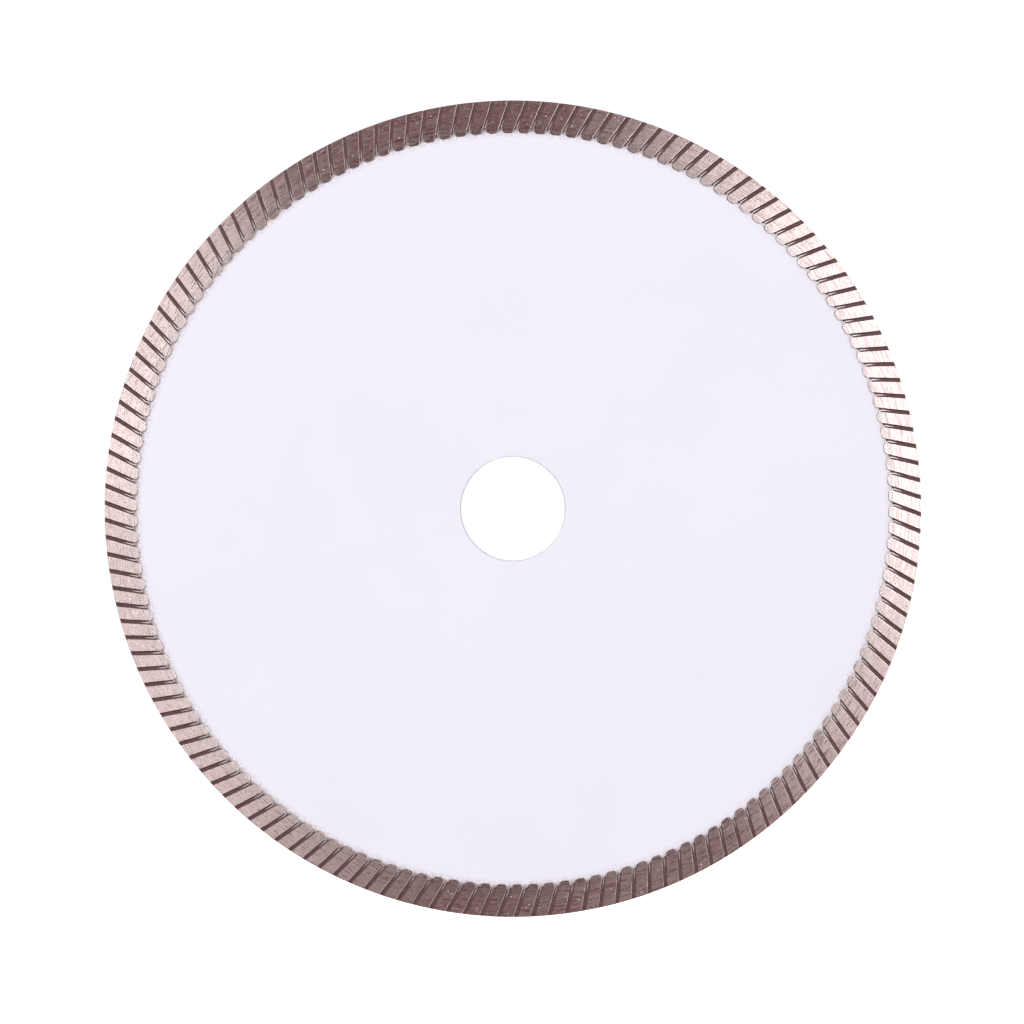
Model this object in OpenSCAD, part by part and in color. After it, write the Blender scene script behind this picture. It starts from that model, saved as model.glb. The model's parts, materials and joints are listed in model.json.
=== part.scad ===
// A diamond blade with a continuous turbo rim for a masonry or tile saw.
// The blade stands upright. Its axis runs along Y, +Z is up, and the origin is the centre
// of the bore, midway through the thickness. The front face looks towards -Y.
// The outlines below are drawn flat, in X and Y, and upright() stands the finished piece up.

/* [Blade] */
// Diameter over the rim
blade_d = 200; // [180:5:230]
// Diameter of the arbor bore
bore_d = 25.4; // [20:0.1:30]

/* [Steel core] */
// Thickness of the steel core
core_t = 1.4; // [1:0.1:2]
// How far the steel reaches outwards under the rim
core_overlap = 3.5; // [3:0.5:4.5]
// Width of the chamfer at each end of the bore
bore_chamfer = 0.2; // [0.1:0.05:0.3]

/* [Turbo rim] */
// Height of the rim, from the inner ends of the ribs to the outside
rim_h = 8; // [6:0.5:10]
// Height of the diamond-free layer at the inner ends of the ribs
bond_h = 2; // [1:0.5:3]
// How far the ribs stand out of the core's face, on each side
rib_rise = 0.35; // [0.2:0.05:0.6]
// Number of ribs on each face
rib_count = 150; // [90:6:150]
// How far the metal at the bottom of the grooves stands out of the core's face
floor_rise = 0.02; // [0.01:0.01:0.05]
// Width of the groove between two ribs
groove_w = 0.93; // [0.6:0.01:1.2]
// Angle between a groove and the radius at the middle of the rim
groove_slant = 20.3; // [0:0.1:30]
// Corner radius of a rib's inner end
rib_end_r = 0.9; // [0.3:0.1:0.9]

/* [Lacquer] */
// Thickness of the lacquer film on each flank
lacquer_t = 0.05; // [0.02:0.01:0.1]
// How far the lacquer runs outwards between the rib ends
lacquer_reach = 0.9; // [0.3:0.1:1]

/* [Diamond grit] */
// Exposed diamond crystals on each face of each rib
crystals_per_rib = 2; // [1:1:3]
// Width of a crystal across its corners
crystal_d = 0.36; // [0.2:0.02:0.5]
// How far a crystal stands out of the rib
crystal_rise = 0.05; // [0.02:0.01:0.1]

/* [Hidden] */

rim_fn = 360;
corner_fn = 24;
crystal_fn = 6;

blade_r = blade_d / 2;
bore_r = bore_d / 2;
rib_inner_r = blade_r - rim_h;
bond_r = rib_inner_r + bond_h;
core_r = rib_inner_r + core_overlap;
mid_r = blade_r - rim_h / 2;
rib_pitch = 360 / rib_count;

core_face = core_t / 2;
rib_face = core_face + rib_rise;

lacquer_inner_r = bore_r + bore_chamfer;
lacquer_outer_r = rib_inner_r + lacquer_reach;

// One matrix key sits in the core's edge at every third rib. At a quarter of a pitch it is
// hidden on both faces, because the back ribs are turned by half a pitch.
ribs_per_key = 3;
key_turn = 0.25;
key_w = 0.9;
key_depth = 1.6;

// Crystals keep this far from the edges of the rib that holds them.
crystal_margin = 0.55;
// Two irrational steps spread the crystals evenly without a visible pattern.
scatter_along = 0.6180340;
scatter_across = 0.7548777;

// Cutters run this far past the surface that they cut.
cut_past = 1;

// On a slanted line at the offset `side`, how far along it the radius r is met,
// counted from the middle of the rim.
function reach(r, side) =
    sqrt(r ^ 2 - (side + mid_r * sin(groove_slant)) ^ 2) - mid_r * cos(groove_slant);

// The blade's centre in the frame of a slanted line.
blade_centre = [-mid_r * cos(groove_slant), -mid_r * sin(groove_slant)];

// Width of a rib, square to its length, at the middle of the rim.
rib_w = 2 * PI * mid_r * cos(groove_slant) / rib_count - groove_w;

module upright() {
    rotate([90, 0, 0]) children();
}

module ring(inner_r, outer_r) {
    difference() {
        circle(r = outer_r, $fn = rim_fn);
        circle(r = inner_r, $fn = rim_fn);
    }
}

// Places its children on the slanted line that crosses the rim's middle at `angle`.
// X runs outwards along the line, and Y across it.
module slanted(angle) {
    rotate(angle) translate([mid_r, 0]) rotate(-groove_slant) children();
}

// The straight part of a groove, open at the outside.
module channel() {
    inner = reach(rib_inner_r + rib_end_r, groove_w / 2 + rib_end_r) - cut_past / 4;
    outer = reach(blade_r, 0) + 4 * cut_past;
    translate([inner, -groove_w / 2]) square([outer - inner, groove_w]);
}

// The mouth at a groove's inner end, between the rounded corners of two ribs.
module mouth() {
    corner_side = groove_w / 2 + rib_end_r;
    corner_a = [reach(rib_inner_r + rib_end_r, corner_side), corner_side];
    corner_b = [reach(rib_inner_r + rib_end_r, -corner_side), -corner_side];
    shrink = rib_inner_r / (rib_inner_r + rib_end_r);
    difference() {
        polygon([
            [corner_a.x, groove_w / 2],
            blade_centre + (corner_a - blade_centre) * shrink,
            blade_centre + (corner_b - blade_centre) * shrink,
            [corner_b.x, -groove_w / 2]
        ]);
        translate(corner_a) circle(r = rib_end_r, $fn = corner_fn);
        translate(corner_b) circle(r = rib_end_r, $fn = corner_fn);
    }
}

// The ribs of one face between two radii.
module ribs(inner_r, outer_r, with_mouths) {
    difference() {
        ring(inner_r, outer_r);
        for (i = [0 : rib_count - 1]) slanted(i * rib_pitch) {
            channel();
            if (with_mouths) mouth();
        }
    }
}

// Places a flat outline on the front and, turned by half a pitch, on the back.
module on_both_faces(height, rise) {
    translate([0, 0, height]) linear_extrude(rise) children();
    translate([0, 0, -height - rise]) linear_extrude(rise) rotate(rib_pitch / 2) children();
}

// The round-ended keys that lock the rim to the core's edge.
module keys(past) {
    for (i = [0 : ribs_per_key : rib_count - 1]) slanted((i + key_turn) * rib_pitch) {
        outer = reach(core_r, 0) + past;
        inner = reach(core_r, 0) - key_depth + key_w / 2;
        translate([inner, -key_w / 2]) square([outer - inner, key_w]);
        translate([inner, 0]) circle(d = key_w, $fn = corner_fn);
    }
}

module steel_core() {
    color([0.72, 0.73, 0.75]) upright() difference() {
        linear_extrude(core_t, center = true) difference() {
            ring(bore_r, core_r);
            keys(cut_past);
        }
        for (side = [0, 180]) rotate([side, 0, 0]) translate([0, 0, core_face - bore_chamfer])
            cylinder(r1 = bore_r, r2 = bore_r + 2 * bore_chamfer, h = 2 * bore_chamfer, $fn = rim_fn);
    }
}

// The rim's parts are drawn too large, and one cut brings them all to the blade's diameter.
module diamond_rim() {
    color([0.58, 0.45, 0.43]) upright() intersection() {
        union() {
            linear_extrude(core_t + 2 * floor_rise, center = true) ring(core_r, blade_r + cut_past);
            linear_extrude(core_t, center = true) keys(cut_past);
            on_both_faces(core_face, rib_rise) ribs(bond_r, blade_r + 2 * cut_past, false);
        }
        cylinder(r = blade_r, h = 4 * rib_face, center = true, $fn = rim_fn);
    }
}

module bond_layer() {
    color([0.62, 0.58, 0.50])
        upright() on_both_faces(core_face, rib_rise) ribs(rib_inner_r, bond_r, true);
}

module lacquer_outline() {
    difference() {
        ring(lacquer_inner_r, lacquer_outer_r);
        ribs(rib_inner_r, bond_r, true);
    }
}

module front_lacquer() {
    color([0.94, 0.93, 0.97]) upright()
        translate([0, 0, core_face]) linear_extrude(lacquer_t) lacquer_outline();
}

module back_lacquer() {
    color([0.94, 0.93, 0.97]) upright()
        translate([0, 0, -core_face - lacquer_t]) linear_extrude(lacquer_t)
            rotate(rib_pitch / 2) lacquer_outline();
}

module crystals() {
    first = reach(bond_r, 0) + crystal_margin;
    run = reach(blade_r, 0) - crystal_margin - first;
    spread = rib_w - 2 * crystal_margin;
    for (n = [0 : rib_count * crystals_per_rib - 1]) {
        along = first + run * ((n * scatter_along) % 1);
        across = spread * ((n * scatter_across) % 1 - 0.5);
        slanted((floor(n / crystals_per_rib) + 0.5) * rib_pitch)
            translate([along, across]) circle(d = crystal_d, $fn = crystal_fn);
    }
}

module diamond_grit() {
    color([0.86, 0.87, 0.74]) upright() on_both_faces(rib_face, crystal_rise) crystals();
}

steel_core();
diamond_rim();
bond_layer();
front_lacquer();
back_lacquer();
diamond_grit();
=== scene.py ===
"""The diamond blade's looks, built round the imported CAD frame.

Outlines are drawn flat in millimetres, seen from the front: u to the right, v up, and a height
w out of the blade's mid-plane. stand() turns them into the row frame, in metres.
"""
import json
import math
import random

import bpy
import numpy as np
from mathutils import Matrix, Vector


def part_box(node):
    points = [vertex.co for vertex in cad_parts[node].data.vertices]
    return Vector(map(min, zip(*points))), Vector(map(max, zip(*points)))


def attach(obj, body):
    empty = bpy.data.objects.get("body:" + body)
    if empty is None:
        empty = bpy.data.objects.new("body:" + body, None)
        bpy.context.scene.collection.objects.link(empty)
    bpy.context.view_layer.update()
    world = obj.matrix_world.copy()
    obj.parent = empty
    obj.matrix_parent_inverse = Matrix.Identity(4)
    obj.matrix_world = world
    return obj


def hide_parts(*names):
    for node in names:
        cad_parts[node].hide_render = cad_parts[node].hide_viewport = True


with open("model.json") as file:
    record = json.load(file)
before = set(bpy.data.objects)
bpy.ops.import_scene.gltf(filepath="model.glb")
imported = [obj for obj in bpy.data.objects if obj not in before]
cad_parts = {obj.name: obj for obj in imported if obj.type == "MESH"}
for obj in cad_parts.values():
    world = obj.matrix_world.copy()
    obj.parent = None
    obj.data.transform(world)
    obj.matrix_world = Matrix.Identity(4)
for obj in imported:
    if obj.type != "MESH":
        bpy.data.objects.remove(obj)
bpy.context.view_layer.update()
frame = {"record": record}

MM = 0.001
MICRON = 0.000001
TAU = 2 * math.pi
rng = random.Random(7)

# ---------------------------------------------------------------- sizes, in millimetres


def half_size(node, axis):
    """Half the size of a CAD node that is centred on the blade's axis."""
    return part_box(node)[1][axis] / MM


BLADE_R = half_size("diamond_rim", 2)
RIB_FACE = half_size("diamond_rim", 1)
GRIT_TOP = half_size("diamond_grit", 1)
BOND_R = half_size("bond_layer", 2)
CORE_R = half_size("steel_core", 2)
CORE_FACE = half_size("steel_core", 1)
FILM_R = half_size("front_lacquer", 2)
FILM_FACE = -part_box("front_lacquer")[0].y / MM
BORE_R = next(m for m in frame["record"]["mounts"] if m["kind"] == "bore")["dims"]["r_mm"]

RIB_COUNT = 150
RIM_H = 8.0
RIB_END_R = 0.9
GROOVE_W = 0.93
GROOVE_SLANT = math.radians(20.3)
FLOOR_RISE = 0.02
BORE_CHAMFER = 0.2

RIB_INNER_R = BLADE_R - RIM_H
MID_R = BLADE_R - RIM_H / 2
PITCH = TAU / RIB_COUNT
FLOOR = CORE_FACE + FLOOR_RISE
# How far the diamonds stand out of the metal at the outside.
DIAMOND_SHOW = 0.03
OUTSIDE_R = BLADE_R - DIAMOND_SHOW

FRONT, BACK = 1, -1

# ---------------------------------------------------------------- flat geometry


def reach(r, side):
    """How far out along a slanted line, offset by side, the radius r is met."""
    off_centre = side + MID_R * math.sin(GROOVE_SLANT)
    return math.sqrt(r * r - off_centre ** 2) - MID_R * math.cos(GROOVE_SLANT)


def place(along, side, turn):
    """The flat point at (along, side) in the frame of the groove whose base angle is turn."""
    s, c = math.sin(GROOVE_SLANT), math.cos(GROOVE_SLANT)
    x = MID_R + along * c + side * s
    y = -along * s + side * c
    return (x * math.cos(turn) - y * math.sin(turn), x * math.sin(turn) + y * math.cos(turn))


def on_edge(r, side, turn):
    return place(reach(r, side), side, turn)


def between(a, b, t):
    """The point a share t of the way from a to b, along the arc about the blade's centre."""
    ra, rb = math.hypot(*a), math.hypot(*b)
    fa, fb = bearing(a), bearing(b)
    fb += TAU * round((fa - fb) / TAU)
    r, f = ra + (rb - ra) * t, fa + (fb - fa) * t
    return (r * math.cos(f), r * math.sin(f))


def arc(r, first, last, count):
    """count flat points at equal steps from one bearing to another, the last one left out."""
    bearings = [first + (last - first) * k / count for k in range(count)]
    return [(r * math.cos(f), r * math.sin(f)) for f in bearings]


def circle(r, count, first=0.0):
    return arc(r, first, first + TAU, count)


def bearing(p):
    return math.atan2(p[1], p[0])


class Flat:
    """A mesh that is collected as flat points and heights, with a material index for each face."""

    def __init__(self):
        self.points, self.faces, self.kinds = [], [], []

    def point(self, uv, w):
        self.points.append((uv[0], uv[1], w))
        return len(self.points) - 1

    def level(self, points, w):
        return [self.point(p, w) for p in points]

    def face(self, corners, kind=0):
        self.faces.append(corners)
        self.kinds.append(kind)

    def strip(self, row_a, row_b, kind=0, closed=False):
        """Quads between two rows of equal length. From outside, row_b lies to the left of row_a."""
        n = len(row_a)
        for i in range(n if closed else n - 1):
            j = (i + 1) % n
            self.face((row_a[i], row_a[j], row_b[j], row_b[i]), kind)


def stand(flat, side):
    """A Flat's points in the row frame. The back is the front mirrored and turned by half a pitch."""
    turn = 0 if side == FRONT else PITCH / 2
    c, s = math.cos(turn), math.sin(turn)
    p = np.array(flat.points)
    u = p[:, 0] * c - p[:, 1] * s
    v = p[:, 0] * s + p[:, 1] * c
    return np.column_stack([u, -side * p[:, 2], v]) * MM


def piece(name, flats, materials, node, smooth_angle=35):
    """One object from several Flats, each given with its side, that stands for a CAD node."""
    points, faces, kinds = [], [], []
    for flat, side in flats:
        base = len(points)
        points.extend(map(tuple, stand(flat, side)))
        for corners in flat.faces:
            order = corners if side == FRONT else corners[::-1]
            faces.append([base + k for k in order])
        kinds.extend(flat.kinds)
    mesh = bpy.data.meshes.new(name)
    mesh.from_pydata(points, [], faces)
    mesh.polygons.foreach_set("material_index", kinds)
    for material in materials:
        mesh.materials.append(material)
    mesh.validate()
    obj = bpy.data.objects.new(name, mesh)
    bpy.context.scene.collection.objects.link(obj)
    mesh.shade_smooth()
    mesh.set_sharp_from_angle(angle=math.radians(smooth_angle))
    mesh.update()
    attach(obj, "root")
    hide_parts(node)
    return obj


# ---------------------------------------------------------------- materials


class Nodes:
    """A material's node tree, with one call for each node that is added."""

    def __init__(self, name):
        self.material = bpy.data.materials.new(name)
        self.material.use_nodes = True
        self.tree = self.material.node_tree
        self.shader = self.tree.nodes["Principled BSDF"]

    def add(self, kind, inputs=(), **settings):
        node = self.tree.nodes.new("ShaderNode" + kind)
        for key, value in settings.items():
            setattr(node, key, value)
        for key, value in dict(inputs).items():
            self.plug(node.inputs[key], value)
        return node

    def plug(self, socket, value):
        if isinstance(value, bpy.types.NodeSocket):
            self.tree.links.new(value, socket)
        elif socket.type == "RGBA" and len(value) == 3:
            socket.default_value = (*value, 1.0)
        else:
            socket.default_value = value

    def math(self, operation, a, b=0.0):
        return self.add("Math", {0: a, 1: b}, operation=operation).outputs[0]

    def times(self, a, b):
        return self.math("MULTIPLY", a, b)

    def total(self, *terms):
        """The sum of several values, each given with its weight."""
        parts = [self.times(value, weight) for value, weight in terms]
        result = parts[0]
        for part in parts[1:]:
            result = self.math("ADD", result, part)
        return result

    def vector(self, operation, a, b=(0, 0, 0)):
        return self.add("VectorMath", {0: a, 1: b}, operation=operation).outputs[0]

    def ramp(self, value, low, high, to_low=0.0, to_high=1.0):
        """A smooth step: to_low where value is low, to_high where it is high."""
        inputs = {"Value": value, "From Min": low, "From Max": high,
                  "To Min": to_low, "To Max": to_high}
        return self.add("MapRange", inputs, interpolation_type="SMOOTHSTEP").outputs["Result"]

    def mix(self, share, a, b):
        """A colour that goes from a to b as share goes from 0 to 1."""
        node = self.tree.nodes.new("ShaderNodeMix")
        node.data_type = "RGBA"
        # A Mix node has a set of sockets for each type of data. These are the colour ones.
        for key, value in ((0, share), (6, a), (7, b)):
            self.plug(node.inputs[key], value)
        return node.outputs[2]

    def noise(self, vector, scale, detail=3.0, roughness=0.55):
        inputs = {"Vector": vector, "Scale": scale, "Detail": detail, "Roughness": roughness}
        return self.add("TexNoise", inputs).outputs["Fac"]

    def bump(self, height, strength, microns, normal=None):
        inputs = {"Height": height, "Strength": strength, "Distance": microns * MICRON}
        node = self.add("Bump", inputs)
        if normal is not None:
            self.plug(node.inputs["Normal"], normal)
        return node.outputs["Normal"]

    def surface(self, **inputs):
        """Sets the shader's inputs and returns the finished material."""
        for key, value in inputs.items():
            self.plug(self.shader.inputs[key.replace("_", " ")], value)
        return self.material


class Polar:
    """Coordinates about the blade's axis: the place and the radius in mm, and the way outwards."""

    def __init__(self, nodes):
        self.nodes = nodes
        self.place = nodes.vector("MULTIPLY", nodes.add("TexCoord").outputs["Object"], (1 / MM,) * 3)
        flat = nodes.vector("MULTIPLY", self.place, (1, 0, 1))
        self.radius = nodes.add("VectorMath", {0: flat}, operation="LENGTH").outputs["Value"]
        self.outwards = nodes.vector("NORMALIZE", flat)

    def streaks(self, across, along, detail=3.0, roughness=0.6):
        """Noise drawn out round the axis. across is its rate per mm of radius, along per radian."""
        n = self.nodes
        round_part = n.vector("MULTIPLY", self.outwards, (along, 0, along))
        lift = n.add("CombineXYZ", {"Y": n.times(self.radius, across)}).outputs[0]
        return n.noise(n.vector("ADD", round_part, lift), 1.0, detail, roughness)


# How far in from the ribs' ends the lacquer is smudged, in millimetres.
SMUDGE_W = 1.5
# The lacquer's darkest broad tone, as a share of its colour.
BROAD_TONE = 0.985
DIAMOND_IOR = 2.42


def ground_metal(name, light, dark, pit, roughness, anisotropy):
    """Pressed metal that was ground on a turning table: marks run round the axis, between rough pits
    that keep no marks."""
    n = Nodes(name)
    polar = Polar(n)
    fine = polar.streaks(across=7.0, along=45.0)
    marks = polar.streaks(across=3.2, along=11.0, detail=2.0)
    patch = n.noise(polar.place, scale=0.8)
    grain = n.noise(polar.place, scale=5.0, detail=2.0)
    holes = n.ramp(polar.streaks(across=4.5, along=220.0, detail=2.0, roughness=0.5), 0.64, 0.70)
    shade = n.total((fine, 0.3), (marks, 0.5), (patch, 0.2))
    colour = n.mix(n.ramp(shade, 0.42, 0.56), dark, light)
    colour = n.mix(n.times(n.ramp(grain, 0.52, 0.72), 0.2), colour, pit)
    colour = n.mix(n.times(holes, 0.85), colour, pit)
    streak = n.total((fine, 0.5), (marks, 0.5))
    marked = n.ramp(streak, 0.41, 0.59, roughness + 0.09, roughness - 0.09)
    rough = n.total((marked, 1.0), (holes, 0.15))
    grain_left = n.times(n.math("SUBTRACT", 1.0, holes), anisotropy)
    height = n.total((fine, 0.4), (marks, 1.0))
    normal = n.bump(height, 0.4, microns=20)
    normal = n.bump(grain, 0.12, microns=20, normal=normal)
    return n.surface(Base_Color=colour, Metallic=1.0, Roughness=rough, Anisotropic=grain_left,
                     Tangent=polar.outwards, Normal=normal)


def pressed_metal(name, light, dark):
    """Metal as it left the mould: dull, grainy and unground."""
    n = Nodes(name)
    polar = Polar(n)
    grain = n.noise(polar.place, scale=9.0)
    patch = n.noise(polar.place, scale=1.3)
    colour = n.mix(n.ramp(n.total((grain, 0.5), (patch, 0.5)), 0.36, 0.64), dark, light)
    return n.surface(Base_Color=colour, Metallic=0.35, Roughness=n.ramp(patch, 0.3, 0.7, 0.56, 0.70),
                     Normal=n.bump(grain, 0.5, microns=40))


def worn_edge(name, light, dark):
    """The rubbed edges of the ribs: dark and smooth, without the faces' marks."""
    n = Nodes(name)
    polar = Polar(n)
    patch = n.noise(polar.place, scale=2.4)
    grain = n.noise(polar.place, scale=8.0, detail=2.0)
    colour = n.mix(n.ramp(patch, 0.38, 0.60), dark, light)
    return n.surface(Base_Color=colour, Metallic=1.0, Roughness=n.ramp(grain, 0.3, 0.7, 0.30, 0.44),
                     Normal=n.bump(grain, 0.2, microns=20))


def lacquer(name, colour, flecked, mouth):
    """White lacquer: faint orange peel, faint dust, and along the rim a smudged edge. Between the
    ribs' ends, painted shade darkens it towards the rim. Both are heavier on the blade's left-hand side
    than on its right."""
    n = Nodes(name)
    polar = Polar(n)
    peel = n.noise(polar.place, scale=0.9, detail=2.0, roughness=0.4)
    dust = n.ramp(n.noise(polar.place, scale=3.1), 0.62, 0.80)
    broad = n.noise(polar.place, scale=0.03, detail=2.0)
    near_rim = n.ramp(polar.radius, RIB_INNER_R - SMUDGE_W, RIB_INNER_R + 0.2)
    side = n.add("SeparateXYZ", {0: polar.outwards}).outputs["X"]
    heavier = n.ramp(side, -0.2, 0.7, 1.0, 0.35)
    near_rim = n.times(near_rim, heavier)
    strokes = polar.streaks(across=1.1, along=330.0)
    blots = n.noise(polar.place, scale=1.5, roughness=0.6)
    fleck = n.ramp(n.total((strokes, 0.5), (blots, 0.5)), 0.42, 0.58)
    smudge = n.times(near_rim, fleck)
    base = n.mix(n.ramp(broad, 0.3, 0.7), tuple(c * BROAD_TONE for c in colour), colour)
    base = n.mix(n.times(dust, 0.05), base, flecked)
    base = n.mix(n.times(smudge, 0.75), base, flecked)
    # Painted shade: between the ribs' ends the lacquer darkens towards the rim, more on the blade's
    # left-hand side.
    mouth_shade = n.times(n.ramp(polar.radius, RIB_INNER_R - 0.2, FILM_R), heavier)
    base = n.mix(n.times(mouth_shade, 0.85), base, mouth)
    rough = n.ramp(n.noise(polar.place, scale=0.25), 0.3, 0.7, 0.42, 0.5)
    height = n.total((peel, 1.0), (smudge, 2.0))
    return n.surface(Base_Color=base, Roughness=rough, Specular_IOR_Level=0.35,
                     Normal=n.bump(height, 0.12, microns=30))


def steel(name, light, dark, roughness=0.42, anisotropy=0.6, metallic=1.0):
    """Ground steel with fine marks round the axis. A low metallic stands for a dull film on it."""
    n = Nodes(name)
    polar = Polar(n)
    fine = polar.streaks(across=11.0, along=40.0, detail=4.0)
    patch = n.noise(polar.place, scale=1.1)
    colour = n.mix(n.ramp(n.total((fine, 0.6), (patch, 0.4)), 0.36, 0.64), dark, light)
    return n.surface(Base_Color=colour, Metallic=metallic,
                     Roughness=n.ramp(patch, 0.3, 0.7, roughness - 0.05, roughness + 0.07),
                     Anisotropic=anisotropy, Tangent=polar.outwards,
                     Normal=n.bump(fine, 0.3, microns=20))


def diamond(name, clear, cloudy):
    """Synthetic saw diamond: greyish, hard and glassy, with cloudy patches and frosted faces."""
    n = Nodes(name)
    polar = Polar(n)
    cloud = n.noise(polar.place, scale=2.5, detail=2.0)
    frost = n.noise(polar.place, scale=16.0, detail=2.0)
    return n.surface(Base_Color=n.mix(n.ramp(cloud, 0.4, 0.6), cloudy, clear), IOR=DIAMOND_IOR,
                     Roughness=n.ramp(frost, 0.3, 0.7, 0.08, 0.28), Transmission_Weight=0.15,
                     Normal=n.bump(frost, 0.15, microns=10))


RIB_GROUND = ground_metal("bronze_ground",
                          light=(0.70, 0.625, 0.605), dark=(0.56, 0.455, 0.45), pit=(0.44, 0.34, 0.32),
                          roughness=0.345, anisotropy=0.913)
END_GROUND = ground_metal("bond_ground",
                          light=(0.63, 0.585, 0.575), dark=(0.51, 0.44, 0.43), pit=(0.41, 0.33, 0.31),
                          roughness=0.345, anisotropy=0.913)
RIB_PRESSED = pressed_metal("bronze_pressed", (0.15, 0.08, 0.08), (0.065, 0.034, 0.038))
END_PRESSED = pressed_metal("bond_pressed", (0.15, 0.09, 0.085), (0.065, 0.038, 0.038))
RIB_EDGE = worn_edge("bronze_edge", (0.35, 0.28, 0.28), (0.19, 0.14, 0.15))
END_EDGE = worn_edge("bond_edge", (0.34, 0.29, 0.28), (0.19, 0.15, 0.15))
RIM_DRESSED = ground_metal("bronze_dressed",
                           light=(0.60, 0.46, 0.45), dark=(0.42, 0.31, 0.30), pit=(0.24, 0.17, 0.16),
                           roughness=0.55, anisotropy=0.3)
# mouth is the colour of the painted shade between the ribs' ends.
LACQUER = lacquer("white_lacquer",
                  colour=(0.75, 0.79, 0.88), flecked=(0.50, 0.44, 0.41), mouth=(0.20, 0.15, 0.14))
STEEL = steel("core_steel", light=(0.66, 0.64, 0.66), dark=(0.42, 0.40, 0.42))
STEEL_EDGE = steel("core_steel_chamfer", light=(0.72, 0.73, 0.79), dark=(0.62, 0.63, 0.68),
                   roughness=0.5, anisotropy=0.3, metallic=0.1)
DIAMOND = diamond("saw_diamond", (0.80, 0.72, 0.71), (0.20, 0.15, 0.15))


# ---------------------------------------------------------------- ribs

# Rows along a rib, and columns across it.
RIB_ROWS = 10
END_ROWS = 5
RIB_COLUMNS = 8
CORNER_STEPS = 6

# The foot of a groove's wall: how far it stands out, and how deep it is sunk in the core. Round a
# rib's inner end the lacquer laps against the wall, so there the metal has hardly any foot.
WALL_FOOT = 0.12
FOOT_SUNK = 0.02
TIP_FOOT = 0.02
# The section across a rib's edge, from the groove's bottom up to the ground face: how far
# inside the groove's nominal edge, how far inside the rib's two ends, and how high. None stands
# for skirt(). The last row keeps the edge's smooth shading from spreading over the face.
SECTION = [
    (None, 0.0, CORE_FACE - FOOT_SUNK),
    (-WALL_FOOT, 0.0, CORE_FACE + 0.05),
    (0.0, 0.0, RIB_FACE - 0.08),
    (0.02, 0.004, RIB_FACE - 0.009),
    (0.055, 0.012, RIB_FACE),
    (0.19, 0.02, RIB_FACE),
]
GROUND, PRESSED, EDGE, DRESSED = 0, 1, 2, 3
SECTION_KINDS = [PRESSED, PRESSED, EDGE, EDGE, GROUND]

# The levels this near to the ground face rise and fall with it.
FOLLOWS_FACE = 0.1
# From a rounded corner to the first row of the rib's long edge.
AFTER_CORNER = 0.08

# Between the metal squeezed out along its two walls, each groove shows a long drop of bare steel.
# Elsewhere the metal of each wall laps a little past the groove's middle.
STREAK_FROM = FILM_R + 0.32
STREAK_TO = CORE_R + 0.15
STREAK_HALF = 0.20
STREAK_ROUND = 0.12
STREAK_TAPER = 0.8
FOOT_LAP = 0.02

# The ground face falls away a little towards a rib's inner end.
TIP_LENGTH = 1.5
TIP_DROP = 0.03

# How uneven a rib is: its edges, the nicks in its inner end, and its face's lift, tilt and dips.
EDGE_WOBBLE = 0.012
NICK = 0.09
FACE_LIFT = 0.008
FACE_TILT = 0.004
FACE_DIP = (-0.006, 0.002)


def skirt(r):
    """How far the squeezed metal's sunk foot reaches from the wall's top edge into the groove."""
    t = (r - STREAK_FROM) / (STREAK_TO - STREAK_FROM)
    bare = STREAK_HALF * min(t / STREAK_ROUND, 1) * (1 - t) ** STREAK_TAPER if 0 < t < 1 else 0
    seen = GROOVE_W / 2 + FOOT_LAP - bare
    rise = (SECTION[1][2] - CORE_FACE) / (SECTION[1][2] - SECTION[0][2])
    return WALL_FOOT + (seen - WALL_FOOT) / rise


def tip_drop(p):
    """How far the ground face has fallen away at a flat point near a rib's inner end."""
    return TIP_DROP * max(0, 1 - (math.hypot(*p) - RIB_INNER_R) / TIP_LENGTH) ** 2


class Wobble:
    """A smooth random offset along a rib's edge."""

    def __init__(self, size):
        self.size = size
        self.phases = [rng.uniform(0, TAU) for _ in range(3)]

    def __call__(self, r):
        a, b, c = self.phases
        waves = math.sin(1.3 * r + a) + 0.6 * math.sin(3.1 * r + b) + 0.4 * math.sin(6.7 * r + c)
        return self.size * waves / 2


def corner_arc(inset, hand, turn):
    """The rounded corner of a rib's inner end, from the end to the long edge.
    hand is 1 for the corner beside the groove that turn places, -1 for the one beside the next."""
    side = hand * (GROOVE_W / 2 + RIB_END_R)
    along = reach(RIB_INNER_R + RIB_END_R, side)
    centre = place(along, side, turn)
    to_groove = place(along, 0, turn)
    first = math.atan2(-centre[1], -centre[0])
    last = math.atan2(to_groove[1] - centre[1], to_groove[0] - centre[0])
    last += TAU * round((first - last) / TAU)
    radius = RIB_END_R - inset
    points = []
    for k in range(CORNER_STEPS + 1):
        f = first + (last - first) * k / CORNER_STEPS
        points.append((centre[0] + radius * math.cos(f), centre[1] + radius * math.sin(f)))
    return points


def rib_sides(index, inset, end_inset, r_in, r_out, wobbles, rounded):
    """The two long edges of a rib at one level of its section, each from the inside outwards."""
    sides = []
    for hand, turn, wobble in ((1, index * PITCH, wobbles[0]), (-1, (index + 1) * PITCH, wobbles[1])):
        points, start = [], r_in + end_inset
        if rounded:
            points = corner_arc(-TIP_FOOT if inset is None else max(inset, -TIP_FOOT), hand, turn)
            start = math.hypot(*points[-1]) + AFTER_CORNER
        rows = END_ROWS if rounded else RIB_ROWS
        stop = r_out - end_inset
        for j in range(rows + 1):
            r = start + (stop - start) * j / rows
            d = -skirt(r) if inset is None else inset + wobble(r)
            points.append(on_edge(r, hand * (GROOVE_W / 2 + d), turn))
        sides.append(points)
    return sides


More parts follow.
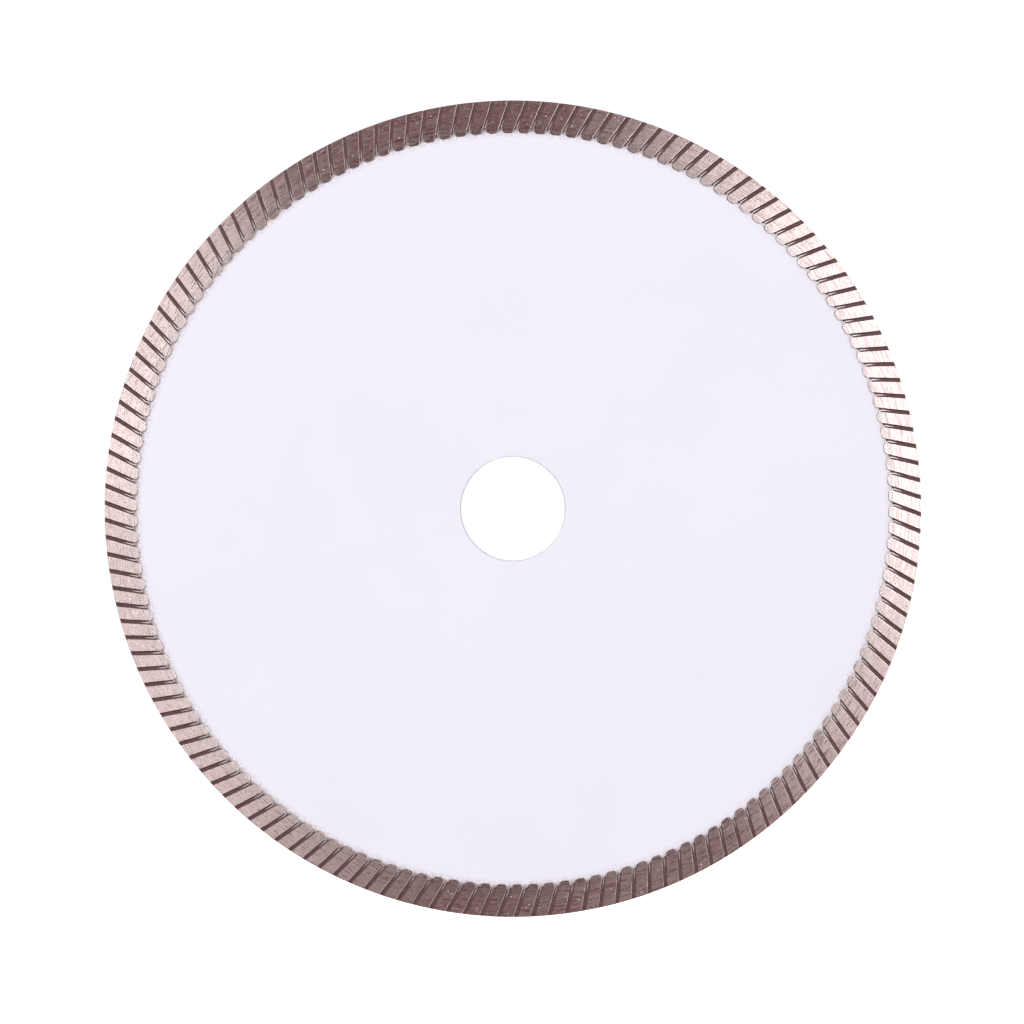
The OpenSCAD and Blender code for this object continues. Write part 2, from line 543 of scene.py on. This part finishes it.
def rib(flat, index, r_in, r_out, rounded):
    """One rib, or its inner end, as a closed shell with a worn ground face."""
    wobbles = [Wobble(EDGE_WOBBLE), Wobble(EDGE_WOBBLE)]
    lift = rng.uniform(-FACE_LIFT, 0)
    tilt = rng.uniform(-FACE_TILT, FACE_TILT)
    nicks = [rng.uniform(-NICK, NICK) if rounded else 0 for _ in range(RIB_COLUMNS)]
    shares = [k / RIB_COLUMNS for k in range(1, RIB_COLUMNS)]
    loops = []

    def nicked(p, k):
        r = math.hypot(*p)
        return (p[0] * (r + nicks[k]) / r, p[1] * (r + nicks[k]) / r)

    def face_height(p, dip=0.0):
        return RIB_FACE + lift + dip - (tip_drop(p) if rounded else 0)

    for inset, end_inset, height in SECTION:
        start, end = rib_sides(index, inset, end_inset, r_in, r_out, wobbles, rounded)
        across = [between(start[-1], end[-1], t) for t in shares]
        back = [nicked(between(end[0], start[0], t), k) for k, t in enumerate(shares, 1)]
        outline = start + across + end[::-1] + back
        if RIB_FACE - height < FOLLOWS_FACE:
            loops.append([flat.point(p, face_height(p, height - RIB_FACE)) for p in outline])
        else:
            loops.append([flat.point(p, height) for p in outline])
    for (lower, upper), kind in zip(zip(loops, loops[1:]), SECTION_KINDS):
        flat.strip(lower, upper, kind, closed=True)
    flat.face(tuple(reversed(loops[0])), PRESSED)

    # The face is a grid whose rim is the last loop.
    rows, top = len(start), loops[-1]
    grid = []
    for j in range(rows):
        line = [top[j]]
        for k in range(1, RIB_COLUMNS):
            if j == rows - 1:
                line.append(top[rows - 1 + k])
            elif j == 0:
                line.append(top[len(top) - k])
            else:
                t = k / RIB_COLUMNS
                dip = rng.uniform(*FACE_DIP) + tilt * (t - 0.5)
                p = between(start[j], end[j], t)
                line.append(flat.point(p, face_height(p, dip)))
        line.append(top[2 * rows + RIB_COLUMNS - 2 - j])
        grid.append(line)
    for row, outer in zip(grid, grid[1:]):
        flat.strip(outer, row, GROUND)


def ribs(r_in, r_out, rounded):
    flat = Flat()
    for i in range(RIB_COUNT):
        rib(flat, i, r_in, r_out, rounded)
    return flat


# The web's mesh, the unevenness of its faces, and its bevel at the outside.
WEB_POINTS_PER_PITCH = 6
WEB_ROUGH = 0.004
WEB_BEVEL = 0.03
WEB_RADII = [CORE_R, CORE_R + 1.5, CORE_R + 3.0, OUTSIDE_R - 0.05]


def make_rim():
    """The pressed matrix: the ribs of both faces on a web that closes the groove bottoms."""
    web = Flat()
    columns = WEB_POINTS_PER_PITCH * RIB_COUNT
    loops = []

    def ring(r, w):
        return [web.point(p, w + rng.uniform(-WEB_ROUGH, WEB_ROUGH)) for p in circle(r, columns)]

    for r in WEB_RADII:
        loops.append(ring(r, FLOOR))
    outside = [ring(OUTSIDE_R, w) for w in (FLOOR - WEB_BEVEL, 0, WEB_BEVEL - FLOOR)]
    loops.extend(outside)
    for r in reversed(WEB_RADII):
        loops.append(ring(r, -FLOOR))
    loops.append(loops[0])
    for inner, outer in zip(loops, loops[1:]):
        dressed = inner in outside and outer in outside
        web.strip(outer, inner, DRESSED if dressed else PRESSED, closed=True)
    return piece("rim_metal", [(web, FRONT), (ribs(BOND_R, OUTSIDE_R, False), FRONT),
                               (ribs(BOND_R, OUTSIDE_R, False), BACK)],
                 [RIB_GROUND, RIB_PRESSED, RIB_EDGE, RIM_DRESSED], "diamond_rim")


def make_rib_ends():
    """The diamond-free metal at the inner ends of the ribs, on both faces."""
    return piece("rib_ends", [(ribs(RIB_INNER_R, BOND_R, True), FRONT),
                              (ribs(RIB_INNER_R, BOND_R, True), BACK)],
                 [END_GROUND, END_PRESSED, END_EDGE], "bond_layer")


# ---------------------------------------------------------------- lacquer films

# Points on the film's outline for each rib, along each side of its end, and across its end.
# The rings round the bore have one point for each SPLIT of them.
POINTS_PER_PITCH = 30
SIDE_POINTS = 10
FLAT_POINTS = 7
SPLIT = 5

# The rough bead along the film's outer edge: its width, its rise, its roughness, and its rows.
BEAD_W = 1.2
BEAD_RISE = 0.04
BEAD_ROUGH = 0.034
BEAD_SHARES = (0.3, 0.5, 0.68, 0.84)


def resample(line, count):
    """count points at equal steps along a polyline, both ends included."""
    steps = [0.0]
    for a, b in zip(line, line[1:]):
        steps.append(steps[-1] + math.dist(a, b))
    points, k = [], 0
    for n in range(count):
        want = steps[-1] * n / (count - 1)
        while k < len(line) - 2 and steps[k + 1] < want:
            k += 1
        t = (want - steps[k]) / max(steps[k + 1] - steps[k], 1e-9)
        points.append(tuple(p + (q - p) * t for p, q in zip(line[k], line[k + 1])))
    return points


def film_side(hand, turn, inset, stop):
    """Along one side of a rib's rounded end, from its tip out to the radius stop."""
    line = corner_arc(inset, hand, turn)
    line.append(on_edge(math.hypot(*line[-1]) + RIB_END_R, hand * (GROOVE_W / 2 + inset), turn))
    kept = [line[0]]
    for a, b in zip(line, line[1:]):
        ra, rb = math.hypot(*a), math.hypot(*b)
        if rb < stop:
            kept.append(b)
            continue
        t = (stop - ra) / (rb - ra)
        kept.append((a[0] + (b[0] - a[0]) * t, a[1] + (b[1] - a[1]) * t))
        break
    return resample(kept, SIDE_POINTS)


def film_outline(inset, stop):
    """The film's outer edge round every rib's end, anticlockwise from the first groove's middle."""
    points = []
    for i in range(RIB_COUNT):
        here, there = i * PITCH, (i + 1) * PITCH
        start = film_side(1, here, inset, stop)
        end = film_side(-1, there, inset, stop)
        points.append(on_edge(stop, 0, here))
        points.append(on_edge(stop, GROOVE_W / 4, here))
        points.extend(reversed(start))
        steps = range(1, FLAT_POINTS + 1)
        points.extend(between(start[0], end[0], k / (FLAT_POINTS + 1)) for k in steps)
        points.extend(end)
        points.append(on_edge(stop, -GROOVE_W / 4, there))
    return points


def thin_out(flat, many, few, flip=False):
    """Faces between a dense ring and the ring inside it, which has one point for each SPLIT of them."""
    n = len(few)
    for k in range(n):
        outer = [many[(k * SPLIT + m) % len(many)] for m in range(SPLIT + 1)]
        corners = [few[k]] + outer + [few[(k + 1) % n]]
        flat.face(tuple(reversed(corners)) if flip else tuple(corners))


def rows_between(a, b, shares):
    return [[(p[0] + (q[0] - p[0]) * t, p[1] + (q[1] - p[1]) * t) for p, q in zip(a, b)]
            for t in shares]


# How far the film's underside lies in the steel, so that the two surfaces don't coincide.
FILM_SUNK = 0.006
# The flat rings that keep the bead and the bore's edge from shading the plain area, as distances.
CALM_BEFORE_BEAD = 0.5
LIP_W, LIP_CALM, LIP_DROP = 0.06, 0.4, 0.03
# The bead's crest, edge and foot: how far inside the ribs' outline, and where in the grooves.
CREST = (-0.20, FILM_R - 0.12)
EDGE_LINE = (0.04, FILM_R)
FOOT_LINE = (0.09, FILM_R + 0.02)
# The bead's roughness is random strokes, none of them stronger than this.
STROKE_LIMIT = 1.6


def film():
    """A lacquer film whose edge against the rim is a rough bead, combed outwards by the spray mask."""
    flat = Flat()
    count = RIB_COUNT * POINTS_PER_PITCH
    first = bearing(on_edge(FILM_R, 0, 0))
    calm_circle = circle(RIB_INNER_R - BEAD_W - CALM_BEFORE_BEAD, count, first)
    rim_circle = circle(RIB_INNER_R - BEAD_W, count, first)
    inner_r = BORE_R + BORE_CHAMFER
    bore_circle = circle(inner_r, count // SPLIT, first)
    soft_circle = circle(inner_r + LIP_W, count // SPLIT, first)
    flat_circle = circle(inner_r + LIP_CALM, count // SPLIT, first)
    crest, edge, foot = (film_outline(*line) for line in (CREST, EDGE_LINE, FOOT_LINE))
    strokes = [rng.gauss(0, 1) for _ in range(count)]

    def ragged(points, w, size):
        row = []
        for k, p in enumerate(points):
            stroke = 0.7 * strokes[k] + 0.3 * strokes[k - 1] + 0.4 * rng.gauss(0, 1)
            row.append(flat.point(p, w + size * min(max(stroke, -STROKE_LIMIT), STROKE_LIMIT)))
        return row

    rows = [flat.level(calm_circle, FILM_FACE), flat.level(rim_circle, FILM_FACE)]
    for points, share in zip(rows_between(rim_circle, crest, BEAD_SHARES), BEAD_SHARES):
        rows.append(ragged(points, FILM_FACE + BEAD_RISE * share ** 2, BEAD_ROUGH * share ** 1.5))
    rows.append(ragged(crest, FILM_FACE + BEAD_RISE, BEAD_ROUGH))
    rows.append(ragged(edge, FILM_FACE + BEAD_RISE / 2, BEAD_ROUGH))
    rows.append(flat.level(foot, CORE_FACE - FILM_SUNK))
    under = flat.level(calm_circle, CORE_FACE - FILM_SUNK)
    rows.append(under)
    for inner, outer in zip(rows, rows[1:]):
        flat.strip(outer, inner, 0, closed=True)
    inner_rows = [flat.level(flat_circle, FILM_FACE), flat.level(soft_circle, FILM_FACE),
                  flat.level(bore_circle, FILM_FACE - LIP_DROP),
                  flat.level(bore_circle, CORE_FACE - FILM_SUNK)]
    thin_out(flat, rows[0], inner_rows[0])
    for outer, inner in zip(inner_rows, inner_rows[1:]):
        flat.strip(outer, inner, 0, closed=True)
    thin_out(flat, under, inner_rows[-1], flip=True)
    return flat


def make_film(name, side, node):
    return piece(name, [(film(), side)], [LACQUER], node, smooth_angle=50)


# ---------------------------------------------------------------- steel core

# The notches lie under every third rib, a quarter of a pitch on from its groove.
RIBS_PER_KEY = 3
KEY_TURN = 0.25
KEY_W = 0.9
KEY_DEPTH = 1.6
NOTCH_STEPS = 8


def core_outline():
    """The core's edge, with a round-bottomed notch for each key of the rim."""
    points = []
    for i in range(RIB_COUNT):
        turn = (i + KEY_TURN) * PITCH
        if i % RIBS_PER_KEY == 0:
            half, outer = KEY_W / 2, reach(CORE_R, 0)
            inner = outer - KEY_DEPTH + half
            notch = [on_edge(CORE_R, -half, turn)]
            for k in range(NOTCH_STEPS + 1):
                f = -TAU / 4 - TAU / 2 * k / NOTCH_STEPS
                notch.append(place(inner + half * math.cos(f), half * math.sin(f), turn))
            notch.append(on_edge(CORE_R, half, turn))
            last = bearing(notch[-1])
        else:
            a = bearing(on_edge(CORE_R, -KEY_W / 2, turn))
            last = bearing(on_edge(CORE_R, KEY_W / 2, turn))
            last += TAU * round((a - last) / TAU)
            steps = NOTCH_STEPS + 2
            notch = arc(CORE_R, a, last + (last - a) / steps, steps + 1)
        points.extend(notch)
        following = bearing(on_edge(CORE_R, -KEY_W / 2, turn + PITCH))
        following += TAU * round((last + PITCH / 2 - following) / TAU)
        rest = POINTS_PER_PITCH - len(notch)
        points.extend(arc(CORE_R, last, following, rest + 1)[1:])
    return points


# How far inside the ribs the plate's mesh turns finer.
SHOULDER = 2.0


def make_core():
    """The steel plate: bore wall, bore chamfers, flanks, and the notched edge under the rim."""
    flat = Flat()
    count = RIB_COUNT * POINTS_PER_PITCH
    outline = core_outline()
    first = bearing(outline[0])

    bore = circle(BORE_R, count // SPLIT, first)
    mouth = circle(BORE_R + BORE_CHAMFER, count // SPLIT, first)
    shoulder = circle(RIB_INNER_R - SHOULDER, count, first)
    bore_front = flat.level(bore, CORE_FACE - BORE_CHAMFER)
    bore_back = flat.level(bore, BORE_CHAMFER - CORE_FACE)
    mouth_front, mouth_back = flat.level(mouth, CORE_FACE), flat.level(mouth, -CORE_FACE)
    shoulder_front, shoulder_back = flat.level(shoulder, CORE_FACE), flat.level(shoulder, -CORE_FACE)
    edge_front, edge_back = flat.level(outline, CORE_FACE), flat.level(outline, -CORE_FACE)
    flat.strip(bore_front, bore_back, 0, closed=True)
    flat.strip(mouth_front, bore_front, 1, closed=True)
    flat.strip(bore_back, mouth_back, 1, closed=True)
    thin_out(flat, shoulder_front, mouth_front)
    thin_out(flat, shoulder_back, mouth_back, flip=True)
    flat.strip(edge_front, shoulder_front, 0, closed=True)
    flat.strip(shoulder_back, edge_back, 0, closed=True)
    flat.strip(edge_back, edge_front, 0, closed=True)
    return piece("core_plate", [(flat, FRONT)], [STEEL, STEEL_EDGE], "steel_core")


# ---------------------------------------------------------------- diamonds

# Dressing has worn the crystals low, so each shows a broad top. CRYSTAL_R is the radius of the
# largest, and CRYSTAL_SHARES the range of the others' shares of it.
CRYSTAL_R = 0.21
CRYSTAL_SQUASH = 0.45
CRYSTAL_SHARES = (0.35, 1.0)
CRYSTALS_PER_RIB = 5
# How near a crystal's middle may lie to a rib's edges and ends, and how far its top lies below the
# highest crystal of the CAD.
GRIT_MARGIN = 0.4
GRIT_BELOW = (0.005, 0.03)


def crystal(flat, centre, w, radius):
    """A truncated octahedron, turned at random, whose highest corner is at the height w."""
    base = []
    for a in range(3):
        for sa in (-1, 1):
            for b in range(3):
                if b == a:
                    continue
                for sb in (-1, 1):
                    p = [0.0, 0.0, 0.0]
                    p[a], p[b] = 2.0 * sa, 1.0 * sb
                    base.append(p)
    size = radius / math.sqrt(5)
    angle = rng.uniform(0, TAU)
    axis = [rng.gauss(0, 1) for _ in range(3)]
    turn = np.array(Matrix.Rotation(angle, 3, axis))
    points = np.array(base) @ turn.T * size
    points[:, 2] *= CRYSTAL_SQUASH
    points[:, 2] += w - points[:, 2].max()
    start = len(flat.points)
    for p in points:
        flat.point((centre[0] + p[0], centre[1] + p[1]), p[2])
    for normal in CRYSTAL_NORMALS:
        corner = max(sum(n * q for n, q in zip(normal, p)) for p in base)
        ring = [k for k, p in enumerate(base) if sum(n * q for n, q in zip(normal, p)) > corner - 1e-6]
        axis = np.array(normal, float) / np.linalg.norm(normal)
        helper = np.array([1.0, 0, 0]) if abs(axis[0]) < 0.8 else np.array([0, 1.0, 0])
        e1 = np.cross(axis, helper)
        e2 = np.cross(axis, e1)
        middle = np.mean([base[k] for k in ring], axis=0)
        ring.sort(key=lambda k: math.atan2((base[k] - middle) @ e2, (base[k] - middle) @ e1))
        flat.face(tuple(start + k for k in ring))


CRYSTAL_NORMALS = [(x, y, z) for x in (-1, 1) for y in (-1, 1) for z in (-1, 1)]
CRYSTAL_NORMALS += [tuple(s if k == a else 0 for k in range(3)) for a in range(3) for s in (-1, 1)]


def grit():
    flat = Flat()
    for i in range(RIB_COUNT):
        for _ in range(CRYSTALS_PER_RIB):
            r = rng.uniform(BOND_R + GRIT_MARGIN, OUTSIDE_R - GRIT_MARGIN)
            start = on_edge(r, GROOVE_W / 2 + GRIT_MARGIN, i * PITCH)
            end = on_edge(r, -GROOVE_W / 2 - GRIT_MARGIN, (i + 1) * PITCH)
            radius = CRYSTAL_R * rng.uniform(*CRYSTAL_SHARES)
            top = GRIT_TOP - rng.uniform(*GRIT_BELOW)
            crystal(flat, between(start, end, rng.random()), top, radius)
    return flat


def make_grit():
    return piece("diamonds", [(grit(), FRONT), (grit(), BACK)], [DIAMOND], "diamond_grit",
                 smooth_angle=5)


# ---------------------------------------------------------------- building

make_core()
make_rim()
make_rib_ends()
make_film("lacquer_front", FRONT, "front_lacquer")
make_film("lacquer_back", BACK, "back_lacquer")
make_grit()

# ---------------------------------------------------------------- stage, light and camera

FLOOR_SIZE = 6.0
# Enough for the floor and the background to show as plain white.
FLOOR_GLOW = 0.97
BACKGROUND = 1.05
# The dim, warm surroundings that the metal reflects.
ROOM_COLOUR = (0.125, 0.031, 0.033)


def make_floor():
    """A plain pale floor that the blade stands on."""
    mesh = bpy.data.meshes.new("floor")
    half = FLOOR_SIZE / 2
    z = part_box("diamond_rim")[0].z
    corners = [(-half, -half, z), (half, -half, z), (half, half, z), (-half, half, z)]
    mesh.from_pydata(corners, [], [(0, 1, 2, 3)])
    floor = bpy.data.objects.new("floor", mesh)
    bpy.context.scene.collection.objects.link(floor)
    n = Nodes("floor_white")
    n.surface(Base_Color=(0.8, 0.8, 0.8), Roughness=0.9,
              Emission_Color=(1, 1, 1), Emission_Strength=FLOOR_GLOW)
    mesh.materials.append(n.material)
    # It is seen, but it doesn't light the blade or hide the softboxes' lower ends from it.
    floor.visible_diffuse = False
    floor.visible_glossy = False
    floor.visible_shadow = False


def make_world():
    """A white background, with dim warm surroundings for the metal to reflect."""
    world = bpy.data.worlds.new("studio")
    bpy.context.scene.world = world
    world.use_nodes = True
    tree = world.node_tree
    tree.nodes.clear()
    seen = tree.nodes.new("ShaderNodeBackground")
    seen.inputs["Color"].default_value = (1, 1, 1, 1)
    seen.inputs["Strength"].default_value = BACKGROUND
    room = tree.nodes.new("ShaderNodeBackground")
    room.inputs["Color"].default_value = (*ROOM_COLOUR, 1)
    room.inputs["Strength"].default_value = 1.0
    path = tree.nodes.new("ShaderNodeLightPath")
    mix = tree.nodes.new("ShaderNodeMixShader")
    out = tree.nodes.new("ShaderNodeOutputWorld")
    tree.links.new(path.outputs["Is Camera Ray"], mix.inputs["Fac"])
    tree.links.new(room.outputs[0], mix.inputs[1])
    tree.links.new(seen.outputs[0], mix.inputs[2])
    tree.links.new(mix.outputs[0], out.inputs["Surface"])


def softbox(name, clock, off_axis, distance, size, power, side):
    """A softbox that faces the blade. clock is its bearing from the top, seen from its own side."""
    c, t = math.radians(clock), math.radians(off_axis)
    towards = Vector((math.sin(t) * math.sin(c), -side * math.cos(t), math.sin(t) * math.cos(c)))
    spot = towards * distance
    data = bpy.data.lights.new(name, "AREA")
    data.shape, data.energy = "RECTANGLE", power
    data.size, data.size_y = size
    light = bpy.data.objects.new(name, data)
    light.location = spot
    light.rotation_euler = (-spot).to_track_quat("-Z", "Y").to_euler()
    light.visible_camera = False
    bpy.context.scene.collection.objects.link(light)


# name, bearing, angle off the blade's axis, distance, width and height, power
SOFTBOXES = [
    ("right", 63, 27, 1.75, (0.9, 1.0), 17.5),
    ("left", 297, 45, 1.75, (0.8, 1.0), 23.3),
    ("low", 165, 75, 0.95, (0.5, 0.5), 3.5),
]


def make_lights():
    for name, clock, off_axis, distance, size, power in SOFTBOXES:
        softbox(f"softbox_front_{name}", clock, off_axis, distance, size, power, FRONT)
        softbox(f"softbox_back_{name}", clock, off_axis, distance, size, power, BACK)


# Metres. The camera looks straight at the front, as in a catalogue picture.
CAMERA_DISTANCE = 1.8
VIEW_WIDTH = 0.25086
CAMERA_X = -0.00022
CAMERA_Z = -0.00080
SENSOR_MM = 36.0


def make_camera():
    data = bpy.data.cameras.new("camera")
    data.sensor_width = SENSOR_MM
    data.lens = SENSOR_MM * CAMERA_DISTANCE / VIEW_WIDTH
    data.clip_start, data.clip_end = 0.01, 50
    camera = bpy.data.objects.new("camera", data)
    camera.location = (CAMERA_X, -CAMERA_DISTANCE, CAMERA_Z)
    camera.rotation_euler = (TAU / 4, 0, 0)
    bpy.context.scene.collection.objects.link(camera)
    bpy.context.scene.camera = camera


make_floor()
make_world()
make_lights()
make_camera()
bpy.context.scene.view_settings.view_transform = "Standard"
